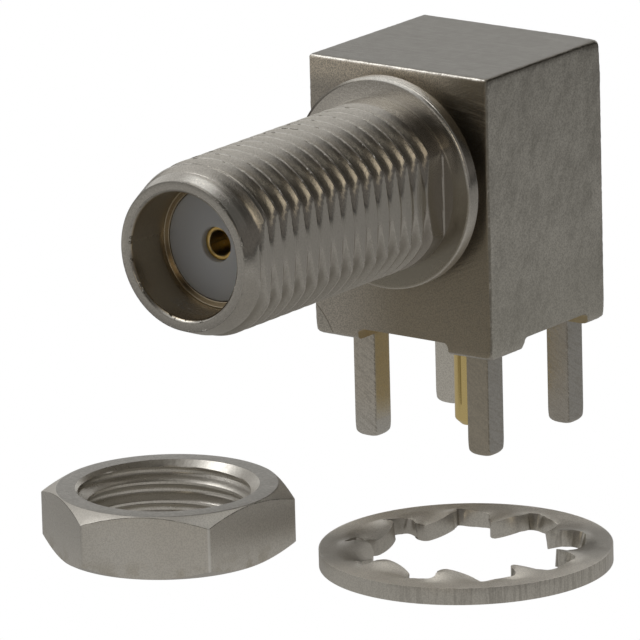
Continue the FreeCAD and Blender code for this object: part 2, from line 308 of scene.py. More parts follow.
def eased(here, low, high, edge):
    """Pull a point of a sharp box onto the same box with rounded edges."""
    inner = Vector([min(max(h, a + edge), b - edge) for h, a, b in zip(here, low, high)])
    outward = here - inner
    return inner + outward.normalized() * edge if outward.length > edge else here


def recess_ceiling(x, y):
    """Height of the block's underside: 0 on the pads, and the recess with its filleted walls between."""
    inside = max(PAD_INNER - abs(x), PAD_INNER - abs(y))
    if inside <= 0:
        return 0.0
    if inside >= RECESS_FILLET:
        return RECESS_HEIGHT
    return RECESS_HEIGHT - RECESS_FILLET + math.sqrt(RECESS_FILLET ** 2 - (RECESS_FILLET - inside) ** 2)


def block_point(x, y, z):
    """Move a point of a plain box onto the block. Its edges are worn unevenly, and rounder at the bottom and
    at the corner farthest to the right, back and top."""
    wear = noise.fractal((x * 6.0, y * 6.0, z * 6.0), 0.7, 2.0, 3)
    to_far_corner = (Vector((x, y, z)) - Vector((HALF_WIDTH, BACK, TOP))).length
    edge = EDGE_ROUND + EDGE_WEAR * wear + EXTRA_ROUND * max(0.0, 1.0 - z / 0.6, 1.0 - to_far_corner / 1.2)
    here = eased(Vector((x, y, z)), (-HALF_WIDTH, FRONT, 0.0), (HALF_WIDTH, BACK, TOP), edge)
    here.z = max(here.z, recess_ceiling(here.x, here.y))
    return here * MM


wall_lines = [(PAD_INNER - RECESS_FILLET * s) * side for s in (0, 0.03, 0.13, 0.3, 0.5, 0.75, 1.0)
              for side in (1, -1)]
block = shaped_box("body_block", (spaced(-HALF_WIDTH, HALF_WIDTH, EDGE_ZONE, wall_lines),
                                  spaced(FRONT, BACK, EDGE_ZONE, wall_lines),
                                  spaced(0.0, TOP, EDGE_ZONE, [RECESS_HEIGHT])), block_point)
bore = turned_mesh("bore", [
    (0.0, 0.5), (SPIGOT + PLAY, 0.5), (SPIGOT + PLAY, -1.9), (CHAMBER, -1.9), (CHAMBER, CAP_INNER),
    (CAP + PLAY, CAP_INNER), (CAP + PLAY, -7.7), (0.0, -7.7)], 96, ALONG_BARREL)
passage = turned_mesh("passage", [(0.0, -0.2), (BEAD + PLAY, -0.2), (BEAD + PLAY, 5.8), (0.0, 5.8)], 64,
                      Matrix())
block = cut(cut(block, bore), passage)

casting = Finish("nickel_on_casting", (0.56, 0.535, 0.49), 0.34)
x, y, z = casting.x, casting.y, casting.z
frontways = casting.back * -1.0
up, front = casting.up.above(0.75, 0.97), frontways.above(0.75, 0.97)
side = casting.right.unsigned().above(0.75, 0.97)
casting.relief(casting.noise((0.7, 8.0, 1.0), detail=5.0, roughness=0.7) * up, 0.014)
casting.relief(casting.noise((1.0, 1.0, 11.0), (0.0, 24.0, 0.0), 4.0) * front, 0.010)
casting.relief(casting.noise((4.0, 6.0, 1.6), (12.0, 0.0, 0.0), 5.0, 0.65) * side, 0.016)
casting.relief(casting.even_noise(16.0, 2.0), 0.0045)

# Colour of the top and of the front, painted as the light falls on them: the top painted darker with its
# brush lines lighter, and the front and sides painted lighter. On the front, a painted light reflection in a
# strip at its top, a painted golden-brown reflection of the barrel over its right part, and a painted dark
# reflection in its upper right corner, broken by streaks and fading towards the top edge
casting.stain(up, PAINTED_TOP_SHADE)
brushed = casting.noise((0.6, 11.0, 1.0), detail=4.0, roughness=0.7).above(0.45, 0.75)
casting.stain(brushed * up * 0.5, (0.38, 0.37, 0.35))
casting.stain(front, (0.66, 0.615, 0.545))
casting.stain(side, (0.78, 0.76, 0.70))
top_strip = z.above(9.35, 10.1) * x.below(0.2, 3.4) * front
casting.stain(x.above(-3.5, 0.3) * front * (1.0 - top_strip) * 0.9, (0.40, 0.345, 0.255))
casting.stain(top_strip, (0.99, 0.90, 0.76))
to_corner = (x * 0.84 + (z - AXIS_HEIGHT) * 0.54) / casting.distance((0.0, FRONT, AXIS_HEIGHT))
streaks = casting.noise((0.5, 1.0, 6.5), (0.0, -9.0, 0.0), 4.0, 0.7).above(0.45, 0.65) * z.above(8.2, 9.4)
dark_corner = to_corner.above(0.84, 0.985) * (1.0 - streaks * 0.85) * (1.0 - z.above(9.2, 10.1) * 0.6)
casting.stain(dark_corner * front, (0.15, 0.125, 0.09))

# Mottled sides, darker towards the bottom; the edges between the right side and the top and front darker in
# pits; the top front edge worn lighter in pits, with a painted highlight; the scratched arc low on the left,
# and the recess's yellow walls
mottled = casting.noise((1.4, 1.4, 0.7), (25.0, 0.0, 0.0), 5.0, 0.7)
casting.stain(mottled.above(0.35, 0.75) * side * 0.9, (0.50, 0.485, 0.44))
casting.stain(casting.even_noise(12.0).above(0.48, 0.70) * side * 0.45, (0.80, 0.78, 0.72))
casting.stain(casting.even_noise(9.0).above(0.50, 0.66) * (side + front) * 0.18, (0.33, 0.31, 0.27))
pits = casting.even_noise(7.0, 4.0, 0.7)
dark_edges = (casting.right * (casting.up + frontways)).above(0.30, 0.46)
casting.stain(dark_edges * pits.below(0.50, 0.66) * 0.8, (0.27, 0.25, 0.21))
# The top front edge worn lighter, with a painted highlight along it
casting.stain((casting.up * frontways).above(0.30, 0.47) * pits.above(0.36, 0.50), (0.84, 0.81, 0.75))
from_centre = casting.distance((-5.60, 0.0, -0.90), (1.0, 0.0, 1.0))
low_left = x.below(-3.1, -2.95) * z.below(2.0, 2.6) * front
casting.stain(from_centre.below(2.60, 2.66) * low_left * 0.7, (0.64, 0.61, 0.55))
casting.stain((from_centre - 2.645).unsigned().below(0.01, 0.04) * low_left * 0.7, (0.24, 0.21, 0.17))
casting.stain(side * z.below(1.0, 4.5) * 0.5, (0.50, 0.485, 0.43))
casting.speckle(0.34 + front * 0.10)
casting.stain(side * x.unsigned().below(2.2, 2.4) * z.below(0.46, 0.52) * 0.9, (0.40, 0.32, 0.19))
casting.stain(front * y.above(-3.6, -3.3) * 0.9, (0.52, 0.44, 0.28))
casting.rough(casting.even_noise(2.5) * 0.14 + 0.26 + front * 0.14)
piece("body_block", block, casting, ["body_block"])


# Solder legs
# Four square legs of the block's brass, cast in one with it and plated with it. They are sheared to
# length, which leaves diagonal tool marks and rounded ends, and soldered into the board.

def rule_tree(name, sizes):
    """A Geometry Nodes tree with a mesh in, named sizes in, and a mesh out."""
    tree = bpy.data.node_groups.new(name, "GeometryNodeTree")
    tree.interface.new_socket("Mesh", in_out="OUTPUT", socket_type="NodeSocketGeometry")
    tree.interface.new_socket("Mesh", in_out="INPUT", socket_type="NodeSocketGeometry")
    for size in sizes:
        kind = "NodeSocketInt" if isinstance(sizes[size], int) else "NodeSocketFloat"
        tree.interface.new_socket(size, in_out="INPUT", socket_type=kind)
    tree.interface.new_socket("Material", in_out="INPUT", socket_type="NodeSocketMaterial")
    return tree, add(tree, "NodeGroupInput"), add(tree, "NodeGroupOutput")


def end_rule(tree, result, given, leaving):
    """Realise, weld and give the material, which every tree ends with."""
    real = add(tree, "GeometryNodeRealizeInstances", {0: result})
    welded = add(tree, "GeometryNodeMergeByDistance", {0: real.outputs[0], "Distance": 0.0005 * MM})
    painted = add(tree, "GeometryNodeSetMaterial", {0: welded.outputs[0],
                                                    "Material": given.outputs["Material"]})
    wire(tree, painted.outputs[0], leaving.inputs[0])


def run_rule(tree, mesh, sizes, finish):
    """Run a tree on a mesh with its sizes set, and give the plain mesh that it makes."""
    sockets = {item.name: item.identifier for item in tree.interface.items_tree
               if getattr(item, "in_out", "") == "INPUT"}

    def prepare(carrier):
        step = carrier.modifiers.new(tree.name, "NODES")
        step.node_group = tree
        for size, value in sizes.items():
            step[sockets[size]] = value
        step[sockets["Material"]] = finish.material
    return applied(mesh, prepare)


repeat_round, given, leaving = rule_tree("repeat_round", {"Count": 4})
spots = add(repeat_round, "GeometryNodeMeshLine", {"Count": given.outputs["Count"],
                                                   "Offset": (0.0, 0.0, 0.0)})
number = Term(repeat_round, add(repeat_round, "GeometryNodeInputIndex").outputs[0])
turn = number / Term(repeat_round, given.outputs["Count"]) * (2 * math.pi)
rotation = add(repeat_round, "ShaderNodeCombineXYZ", {2: turn})
copies = add(repeat_round, "GeometryNodeInstanceOnPoints", {
    "Points": spots.outputs[0], "Instance": given.outputs["Mesh"], "Rotation": rotation.outputs[0]})
end_rule(repeat_round, copies.outputs[0], given, leaving)

LEG_CENTRE, LEG_HALF, LEG_END, LEG_ROUND, LEG_EDGE = 2.54, 0.48, -4.0, 0.22, 0.05


def leg_point(x, y, z):
    """A point of the leg: tight rounding down its edges, and rounded corners and a low dome at its end."""
    rise = z - LEG_END
    near_end = max(0.0, 1.0 - rise / LEG_ROUND)
    half = LEG_HALF - 0.8 * LEG_ROUND * (1.0 - math.sqrt(1.0 - near_end ** 2))
    edge = LEG_EDGE + 0.15 * max(0.0, 1.0 - rise / 0.6) ** 2
    here = eased(Vector((x, y)) * half / LEG_HALF, (-half, -half), (half, half), edge)
    lift = 0.03 * near_end * here.length_squared / LEG_HALF ** 2
    return Vector((here.x + LEG_CENTRE, here.y + LEG_CENTRE, z + lift)) * MM


across = spaced(-LEG_HALF, LEG_HALF, 0.2)
drops = [LEG_END + 0.3 * s for s in (0, 0.02, 0.08, 0.18, 0.3, 0.5, 0.75)]
drops += list(np.linspace(LEG_END + 0.3, 0.1, 28))
leg = shaped_box("solder_legs", (across, across, drops), leg_point)

leg_finish = Finish("nickel_on_legs", (0.56, 0.53, 0.48), 0.34)
x, y, z = leg_finish.x, leg_finish.y, leg_finish.z
leg_finish.relief(leg_finish.noise((2.0, 2.0, 9.0), (35.0, -35.0, 0.0), 3.0), 0.014)
leg_finish.relief(leg_finish.even_noise(11.0, 2.0), 0.004)
right_face = leg_finish.right.above(0.75, 0.97)
left_legs, front_legs = x.below(-0.1, 0.1), y.below(-0.1, 0.1)
front_left, front_right = left_legs * front_legs, (1.0 - left_legs) * front_legs
back_left = left_legs * (1.0 - front_legs)

# Colour of each leg and side, painted lighter or darker as the light falls on it: a painted gold reflection
# of the pin on the front left leg's right side, and that leg lighter towards its end; then the marks of the
# shears
leg_finish.stain(right_face, (0.50, 0.49, 0.465))
leg_finish.stain(front_left * (1.0 - right_face), (0.70, 0.655, 0.58))
leg_finish.stain(front_right * (1.0 - right_face), (0.50, 0.455, 0.375))
# Painted gold reflection of the signal pin on the front left leg's right side
leg_finish.stain(front_left * right_face * z.above(-3.4, -3.2), (0.58, 0.515, 0.375))
leg_finish.stain(back_left, (0.86, 0.83, 0.76))
leg_finish.stain(front_left * z.below(-3.7, -2.2) * 0.8, (0.72, 0.70, 0.655))
marks = leg_finish.noise((1.5, 1.5, 16.0), (30.0, -30.0, 0.0), 4.0, 0.7)
leg_edges = (leg_finish.back * leg_finish.right).unsigned().above(0.2, 0.4)
leg_finish.stain(marks.above(0.46, 0.66) * (1.0 - back_left) * (1.0 - front_left * right_face) * 0.35,
                 (0.34, 0.31, 0.26))
leg_finish.speckle(0.25)
leg_finish.stain(leg_edges * marks.above(0.45, 0.52) * 0.5, (0.20, 0.18, 0.14))
leg_finish.rough(leg_finish.even_noise(3.0) * 0.16 + 0.26)
piece("solder_legs", run_rule(repeat_round, leg, {"Count": 4}, leg_finish), leg_finish, [])


# Barrel
# Turned from brass bar and nickel plated: neck, flange, plain shank, a rolled 1/4-36 thread with one flat
# milled along it, and the open mouth. Its spigot is pressed into the block.

SPIGOT_END, COLLAR_STEP, FLANGE_BACK, FLANGE_FACE = -1.80, -0.60, 0.52, 1.09
SHOULDER, BARREL_END = 11.02, 12.95
NECK, FLANGE, MOUTH, COLLAR, SLEEVE = 3.30, 3.92, 2.30, 2.40, 2.05
THREAD_RADIUS, THREAD_PITCH = 3.175, 0.70556
BRIGHT_NICKEL, GLINT = (0.60, 0.575, 0.53), (1.0, 0.98, 0.93)

thread_sizes = {
    "Radius": THREAD_RADIUS * MM, "Depth": 0.42 * MM, "Pitch": THREAD_PITCH * MM,
    "First": FLANGE_FACE * MM, "Last": BARREL_END * MM, "Start": 2.05 * MM, "Stop": 12.17 * MM,
    "Lead first": 0.05 * MM, "Drop first": -0.06 * MM, "Lead last": 1.30 * MM, "Drop last": 0.455 * MM,
    "Flat": 2.742 * MM, "Side": 1.0, "Columns": 240, "Rows": 289, "Rows per turn": 16,
}

# The thread as one sheet wrapped round the axis: its rows climb by a pitch for each turn
screw_thread, given, leaving = rule_tree("screw_thread", thread_sizes)
size = {item.name: Term(screw_thread, item) for item in given.outputs if item.name}
sheet = add(screw_thread, "GeometryNodeMeshGrid", {"Size X": 1.0, "Size Y": 1.0,
            "Vertices X": size["Columns"], "Vertices Y": size["Rows"]})
sheet_x, sheet_y, _ = parts(screw_thread, add(screw_thread, "GeometryNodeInputPosition").outputs[0])
around = sheet_x + 0.5
turns = (sheet_y + 0.5) * (size["Rows"] - 1.0) / size["Rows per turn"] - 1.0
along = (turns + around) * size["Pitch"] + size["First"]
along = along.math("MAXIMUM", size["First"]).math("MINIMUM", size["Last"])
from_middle = (turns.math("FRACT") - 0.5).unsigned() * 2.0
groove = Term(screw_thread, add(screw_thread, "ShaderNodeMapRange",
                                {0: from_middle, 1: 0.875, 2: 0.125}).outputs[0])
groove = 1.0 - (1.0 - groove) ** 1.35
groove = groove * 0.45 + groove.above(0.0, 1.0) * 0.55
middle = (turns.math("FLOOR") + around + 0.5) * size["Pitch"] + size["First"]
groove = groove * middle.above(size["Start"] - size["Pitch"] * 0.5, size["Start"])
groove = groove * middle.below(size["Stop"], size["Stop"] + size["Pitch"] * 0.6)

# The lead at each end, and the flat, which cuts the wrapped sheet off and dies out on the far lead
lead = ((along - size["Last"]) / size["Lead last"] + 1.0).math("MAXIMUM", 0.0)
lead_in = ((size["First"] - along) / size["Lead first"] + 1.0).math("MAXIMUM", 0.0)
plain = size["Radius"] - size["Side"] * (size["Drop last"] * lead ** 1.12
                                         + size["Drop first"] * lead_in ** 1.6)
cut_in = size["Radius"] - size["Side"] * size["Depth"] * groove
radius = (plain * size["Side"]).math("MINIMUM", cut_in * size["Side"]) * size["Side"]
angle = around * (2 * math.pi)
wave_place = add(screw_thread, "ShaderNodeCombineXYZ", {0: angle.math("COSINE"), 1: angle.math("SINE"),
                                                        2: turns})
wave = add(screw_thread, "ShaderNodeTexNoise", {"Vector": wave_place.outputs[0], "Scale": 6.0,
                                                "Detail": 2.0})
radius = radius - (Term(screw_thread, wave.outputs[0]) * 0.003 * MM) * size["Side"]
flat_reach = size["Flat"] - size["Drop first"] * lead_in ** 1.6 + lead * 0.25 * MM
placed = add(screw_thread, "ShaderNodeCombineXYZ", {
    0: (radius * angle.math("COSINE")).math("SMOOTH_MIN", flat_reach, 0.14 * MM),
    1: radius * angle.math("SINE"), 2: along})
wrapped = add(screw_thread, "GeometryNodeSetPosition", {0: sheet.outputs[0], "Position": placed.outputs[0]})
end_rule(screw_thread, wrapped.outputs[0], given, leaving)

turning = Finish("nickel_on_turning", BRIGHT_NICKEL, 0.26)
x, y, z, up = turning.x, turning.y, turning.z, turning.up
off_axis = turning.distance((0.0, 0.0, AXIS_HEIGHT), (1.0, 0.0, 1.0))
upper = up.above(-0.35, 0.15) * 0.92 + 0.08
threaded = y.above(-16.25, -16.15) * y.below(-6.30, -6.20)
outermost = off_axis.above(THREAD_RADIUS - 0.025, THREAD_RADIUS - 0.005)
crest = outermost * threaded * up.above(0.25, 0.50) * up.below(0.84, 0.95)
mouth_edges = y.below(-16.96, -16.92) * (off_axis - 2.54).unsigned().above(0.12, 0.15)
turning.relief(turning.noise((1.0, 16.0, 1.0)) * upper, 0.004)
turning.relief(turning.even_noise(9.0, roughness=0.6) * upper, 0.0028)
turning.relief(turning.even_noise(22.0, 2.0) * upper, 0.0022)
turning.relief(turning.even_noise(12.0, roughness=0.7) * up.above(0.78, 0.96), 0.018)
turning.relief(turning.even_noise(4.0, 1.0).above(0.60, 0.66) * (crest + mouth_edges), 0.04)
turning.rough(turning.even_noise(3.0) * 0.10 + 0.17 + up.below(-0.5, 0.1) * 0.27 + crest * 0.12)

# Colour of the bore, and painted light and shade on the flange and the plain shank: a painted dark warm
# reflection on the flange face's lower part and a painted light one on its upper left, painted highlights on
# the fillet, the rim's top and the bevel's right, the rim's bottom painted lighter, and painted shade on the
# bevel's left and on the shank's lower part
turning.stain(off_axis.below(2.31, 2.36) * 0.85, (0.46, 0.375, 0.25))
flange = (turning.back * -1.0).above(0.8, 0.97) * off_axis.above(3.15, 3.20)
turning.stain(flange * z.below(6.0, 8.6) * 0.9, (0.40, 0.365, 0.295))
turning.stain(flange * z.above(7.6, 9.4) * x.below(0.8, 2.4), (0.90, 0.86, 0.79))
fillet = off_axis.above(3.178, 3.19) * off_axis.below(3.24, 3.27) * y.below(-5.06, -5.0)
turning.stain(fillet * z.above(7.0, 8.0) * 0.9, (1.0, 0.96, 0.88))
rim = off_axis.above(3.80, 3.86) * (1.0 - flange)
turning.stain(rim * z.above(9.2, 9.7) * 0.7, (0.98, 0.95, 0.89))
turning.stain(rim * z.below(4.6, 6.0) * 0.9, (0.82, 0.79, 0.73))
bevel = off_axis.above(3.79, 3.82) * y.below(-5.06, -5.03)
turning.stain(bevel * x.below(-2.0, -0.8) * z.above(5.5, 6.5) * 0.8, (0.22, 0.20, 0.17))
turning.stain(bevel * x.above(-0.8, 0.2) * z.above(6.4, 7.4), GLINT)
shank = y.above(-6.15, -6.05) * (1.0 - flange) * (1.0 - rim)
turning.stain(shank * z.below(9.2, 9.45) * 0.9, (0.46, 0.43, 0.39))

# Colour of the thread's crests with a painted highlight, of the grain on its top, painted shade in the
# grooves below, and a painted highlight on the lead's top
turning.stain(crest * 0.55, (0.88, 0.85, 0.79))
grain, grained = turning.noise((6.0, 9.0, 6.0), detail=4.0, roughness=0.8), up.above(0.78, 0.92) * threaded
turning.stain(grain.above(0.44, 0.62) * grained * 0.8, (0.40, 0.38, 0.34))
turning.stain(grain.below(0.34, 0.44) * grained * 0.8, (0.86, 0.83, 0.77))
turning.speckle(0.2)
deep = off_axis.below(2.92, 3.10) * off_axis.above(2.40, 2.50) * threaded
turning.stain(deep * z.below(4.6, 5.4) * x.below(2.62, 2.70) * 0.9, (0.46, 0.435, 0.39))
lead_top = y.below(-16.66, -16.50) * off_axis.above(2.735, 2.76) * up.above(0.35, 0.60) * x.above(-0.3, 0.6)
turning.stain(lead_top, GLINT)


def rounded(corners, steps=4):
    """A profile whose corners (radius, height, rounding) are replaced by short arcs."""
    places = [Vector(corner[:2]) for corner in corners]
    result = []
    for number, corner in enumerate(corners):
        here = places[number]
        if len(corner) < 3:
            result.append(tuple(here))
            continue
        before = (places[number - 1] - here).normalized() * corner[2]
        after = (places[(number + 1) % len(places)] - here).normalized() * corner[2]
        for step in range(steps + 1):
            share = step / steps
            result.append(tuple(here + before * (1 - share) ** 2 + after * share ** 2))
    return result


def joined(name, *meshes):
    work = bmesh.new()
    for mesh in meshes:
        work.from_mesh(mesh)
    result = bpy.data.meshes.new(name)
    work.to_mesh(result)
    work.free()
    return result


skin = run_rule(screw_thread, bpy.data.meshes.new("blank"), thread_sizes, turning)
skin.transform(ALONG_BARREL)
solid = turned_mesh("barrel", rounded([
    (SLEEVE + PLAY, COLLAR_STEP), (COLLAR + PLAY, COLLAR_STEP), (COLLAR + PLAY, SPIGOT_END),
    (SPIGOT, SPIGOT_END), (SPIGOT, 0.0), (NECK, 0.0), (NECK, FLANGE_BACK, 0.05),
    (FLANGE, FLANGE_BACK, 0.07), (FLANGE, FLANGE_FACE, 0.12), (2.60, FLANGE_FACE),
    (2.60, BARREL_END - 0.3), (2.72, BARREL_END, 0.02), (2.38, BARREL_END, 0.05),
    (MOUTH, BARREL_END - 0.1, 0.03), (MOUTH, SHOULDER, 0.06), (SLEEVE + PLAY, SHOULDER, 0.05)]),
    192, ALONG_BARREL)
piece("barrel", joined("barrel", skin, solid), turning, ["barrel"], 28.0)


# Barrel insulator
# A sleeve of milky fluoropolymer, turned and pressed into the barrel from behind until its collar meets
# the barrel's step. Its front face shows in the mouth.

CONTACT = 0.61

milky = Finish("fluoropolymer", (0.60, 0.63, 0.68), 0.42, 0.0, Subsurface_Weight=0.7,
               Subsurface_Radius=(1.0, 1.0, 1.0), Subsurface_Scale=0.0005)
milky.relief(milky.even_noise(5.0, 2.0), 0.003)
milky.stain(milky.even_noise(0.8).above(0.35, 0.8) * 0.3, (0.60, 0.62, 0.62))
sleeve = turned_mesh("barrel_insulator", rounded([
    (CONTACT + PLAY, SPIGOT_END), (COLLAR, SPIGOT_END), (COLLAR, COLLAR_STEP - PLAY),
    (SLEEVE, COLLAR_STEP - PLAY), (SLEEVE, SHOULDER, 0.04), (CONTACT + PLAY, SHOULDER, 0.07)]),
    128, ALONG_BARREL)
piece("barrel_insulator", sleeve, milky, ["barrel_insulator"])


# Socket contact
# Beryllium copper, turned, drilled and gold plated, with a slot sawn in its mouth. Its thicker tail is
# cross-drilled for the signal pin.

CONTACT_END = SHOULDER - 0.22
SOCKET, CONTACT_TAIL, PIN_TAIL = 0.46, 0.95, 0.28
VIEW_TURN = math.radians(36.33)

gilt = Finish("gold_plating", (0.80, 0.56, 0.20), 0.24)
gilt.relief(gilt.noise((1.5, 22.0, 1.5), detail=2.0), 0.003)
gilt.stain(gilt.even_noise(3.0).above(0.45, 0.8) * 0.5, (0.66, 0.44, 0.14))
# Painted light: the pin below the block is painted a lighter gold
gilt.stain(gilt.z.below(0.0, 0.4) * 0.9, (0.90, 0.72, 0.33))
in_socket = gilt.distance((0.0, 0.0, AXIS_HEIGHT), (1.0, 0.0, 1.0)).below(SOCKET + 0.005, SOCKET + 0.02)
gilt.stain(in_socket * 0.9, (0.96, 0.85, 0.58))
gilt.rough(gilt.even_noise(6.0) * 0.14 + 0.18)

# A painted dark reflection line down the pin's front, 0.31 mm left of its axis when seen from VIEW_TURN to
# the right of -Y
reflection_line_side = gilt.x * math.cos(VIEW_TURN) + gilt.y * math.sin(VIEW_TURN) + 0.31
dark_reflection_line = reflection_line_side.unsigned().below(0.01, 0.035) * gilt.y.below(-0.1, 0.0)
gilt.stain(dark_reflection_line * gilt.z.above(-3.05, -2.95) * gilt.z.below(0.0, 0.4) * 0.8, (0.36, 0.26, 0.08))


def box_mesh(name, low, high, to_frame):
    """A plain box between two corners, moved into the row's frame."""
    centre, extent = (Vector(low) + Vector(high)) / 2, Vector(high) - Vector(low)
    placing = to_frame @ Matrix.Translation(centre * MM) @ Matrix.Diagonal((*(extent * MM), 1.0))
    work = bmesh.new()
    bmesh.ops.create_cube(work, size=1.0, matrix=placing)
    mesh = bpy.data.meshes.new(name)
    work.to_mesh(mesh)
    work.free()
    return mesh


socket = turned_mesh("socket_contact", rounded([
    (0.0, -5.01), (CONTACT_TAIL, -5.01), (CONTACT_TAIL, SPIGOT_END), (CONTACT, SPIGOT_END),
    (CONTACT, CONTACT_END, 0.03), (SOCKET + 0.03, CONTACT_END, 0.02), (SOCKET, CONTACT_END - 0.03),
    (SOCKET, CONTACT_END - 3.0), (0.0, CONTACT_END - 3.0)]), 96, ALONG_BARREL)
slot = box_mesh("slot", (0.0, -0.09, CONTACT_END - 2.4), (1.2, 0.09, CONTACT_END + 0.5),
                ALONG_BARREL @ Matrix.Rotation(math.radians(-19.0), 4, "Z"))
cross_hole = turned_mesh("cross_hole", [(0.0, 4.8), (PIN_TAIL + PLAY, 4.8), (PIN_TAIL + PLAY, 8.0),
                                        (0.0, 8.0)], 48, Matrix())
piece("socket_contact", cut(cut(socket, slot), cross_hole), gilt, ["socket_contact"])


# Signal pin and its bead
# A turned and gold plated pin that stands on the block's centre line between the legs, held off the block
# by a pressed-in fluoropolymer bead. Its tail is soldered in the contact's cross hole.

PIN, PIN_NECK, PIN_END, TAIL_START = 0.54, 0.36, -3.85, 5.43
BEAD_LOW, BEAD_HIGH = 0.45, 3.65

pin = turned_mesh("signal_pin", rounded([
    (0.0, PIN_END), (PIN - 0.25, PIN_END, 0.04), (PIN, PIN_END + 0.24, 0.06), (PIN, BEAD_LOW),
    (PIN_NECK, BEAD_LOW), (PIN_NECK, TAIL_START), (PIN_TAIL, TAIL_START), (PIN_TAIL, 7.50, 0.05),
    (0.0, 7.50)]), 72, Matrix())
piece("signal_pin", pin, gilt, ["signal_pin"])
bead = turned_mesh("pin_insulator", rounded([
    (PIN_NECK + PLAY, BEAD_LOW), (BEAD, BEAD_LOW, 0.03), (BEAD, BEAD_HIGH), (PIN_NECK + PLAY, BEAD_HIGH)]),
    72, Matrix())
piece("pin_insulator", bead, milky, ["pin_insulator"])


# Rear cap
# A brass disc, punched and nickel plated. It is pressed into the block's back and closes the chamber where
# the pin is soldered to the contact.

DULL_NICKEL = (0.58, 0.555, 0.51)

cap_finish = Finish("nickel_on_cap", DULL_NICKEL, 0.30)
cap_finish.relief(cap_finish.even_noise(5.0, 4.0), 0.010)
cap_finish.rough(cap_finish.even_noise(3.0) * 0.16 + 0.22)
cap = turned_mesh("rear_cap", rounded([(0.0, CAP_OUTER), (CAP, CAP_OUTER, 0.10), (CAP, CAP_INNER),
                                       (0.0, CAP_INNER)]), 128, ALONG_BARREL)
piece("rear_cap", cap, cap_finish, ["rear_cap"])


# Hex nut
# Turned from hexagon bar, chamfered on both faces, threaded 1/4-36 and nickel plated. It lies loose on
# the surface.

NUT_APOTHEM, NUT_HEIGHT, NUT_FACE, NUT_MOUTH = 3.97, 2.30, 3.92, 3.26
NUT_X, NUT_Y, NUT_TURN = -0.18, -18.06, math.radians(55.5)
CORNER_REACH = NUT_APOTHEM / math.cos(math.radians(29.55))
ON_NUT = Matrix.Translation(Vector((NUT_X, NUT_Y, LEG_END)) * MM) @ Matrix.Rotation(NUT_TURN, 4, "Z")

# One sixth of the outside, from corner to corner
half = [30.0, 29.75, 29.4]
points = []
for degrees in half + list(np.linspace(29.0, -29.0, 25)) + [-d for d in reversed(half)]:
    angle = math.radians(degrees)
    reach = min(NUT_APOTHEM / math.cos(angle), CORNER_REACH)
    fall = (reach - NUT_FACE) * math.tan(math.radians(30.0))
    profile = rounded([(NUT_MOUTH, NUT_HEIGHT), (NUT_FACE, NUT_HEIGHT, 0.03),
                       (reach, NUT_HEIGHT - fall, 0.035), (reach, fall, 0.02), (NUT_FACE, 0.0, 0.03),
                       (NUT_MOUTH, 0.0)], 3)
    points += [Vector((r * math.cos(angle), r * math.sin(angle), z)) * MM for r, z in profile]
nut_side = new_mesh("nut_side", points, grid_faces(len(points) // len(profile), len(profile)))

nut_finish = Finish("nickel_on_nut", BRIGHT_NICKEL, 0.28)
level = nut_finish.up.unsigned()
sides, level_top = level.below(0.5, 0.9), level.above(0.90, 0.98)
from_middle = nut_finish.distance((NUT_X, NUT_Y, 0.0), (1.0, 1.0, 0.0))
chamfer = from_middle.above(3.90, 3.98) * nut_finish.up.above(0.74, 0.82)
nut_finish.relief(nut_finish.noise((1.6, 1.6, 9.0)) * sides, 0.006)
nut_finish.relief(nut_finish.even_noise(6.0, roughness=0.5), 0.005)
# Painted shade and light: the top painted darker and the sides lighter, as the light falls on them
nut_finish.stain(level_top, PAINTED_TOP_SHADE)
nut_finish.stain(nut_finish.even_noise(9.0).above(0.40, 0.65) * level_top * 0.4, (0.45, 0.43, 0.40))
nut_finish.stain(sides, (0.86, 0.835, 0.78))
low_down = nut_finish.z.below(-3.9, -3.1) * nut_finish.even_noise(1.6, 4.0).above(0.46, 0.60)
nut_finish.stain(low_down * sides * 0.5, (0.62, 0.575, 0.48))
# Painted highlight on the chamfer's right
nut_finish.stain(chamfer * nut_finish.x.above(2.2, 3.4) * 0.9, (0.98, 0.96, 0.91))
# A darker line along the rounded edges between the sides and the chamfers
dark_edge_line = nut_finish.up.above(0.12, 0.30) * nut_finish.up.below(0.55, 0.78)
dark_edge_line = dark_edge_line * nut_finish.even_noise(3.0).above(0.38, 0.52) * from_middle.above(3.7, 3.8)
nut_finish.stain(dark_edge_line * 0.8, (0.20, 0.18, 0.14))
nut_finish.speckle(0.16)
# Painted highlight down the corner nearest the right front
near_corner = NUT_TURN - math.radians(90.0)
corner = (NUT_X + CORNER_REACH * math.cos(near_corner), NUT_Y + CORNER_REACH * math.sin(near_corner), 0.0)
nut_finish.stain(nut_finish.distance(corner, (1.0, 1.0, 0.0)).below(0.03, 0.07), (1.0, 0.99, 0.95))
nut_finish.rough(nut_finish.even_noise(2.5) * 0.16 + 0.22 + chamfer * 0.16
                 + sides * nut_finish.x.above(0.5, 2.5) * 0.2)

nut_thread_sizes = {
    "Radius": 2.85 * MM, "Depth": 0.325 * MM, "Pitch": THREAD_PITCH * MM,
    "First": 0.0, "Last": NUT_HEIGHT * MM, "Start": 0.0, "Stop": 3.4 * MM,
    "Lead first": 0.41 * MM, "Drop first": 0.41 * MM, "Lead last": 0.41 * MM, "Drop last": 0.41 * MM,
    "Flat": 9.0 * MM, "Side": -1.0, "Columns": 192, "Rows": 85, "Rows per turn": 16,
}
nut_bore = run_rule(screw_thread, bpy.data.meshes.new("blank"), nut_thread_sizes, nut_finish)
nut = joined("hex_nut", nut_bore, run_rule(repeat_round, nut_side, {"Count": 6}, nut_finish))
nut.transform(ON_NUT)
piece("hex_nut", nut, nut_finish, ["hex_nut"], 20.0)


# Lock washer
# Punched from spring strip, its nine inner teeth twisted, then tumbled and nickel plated. It lies flat on
# the low corners of its teeth.

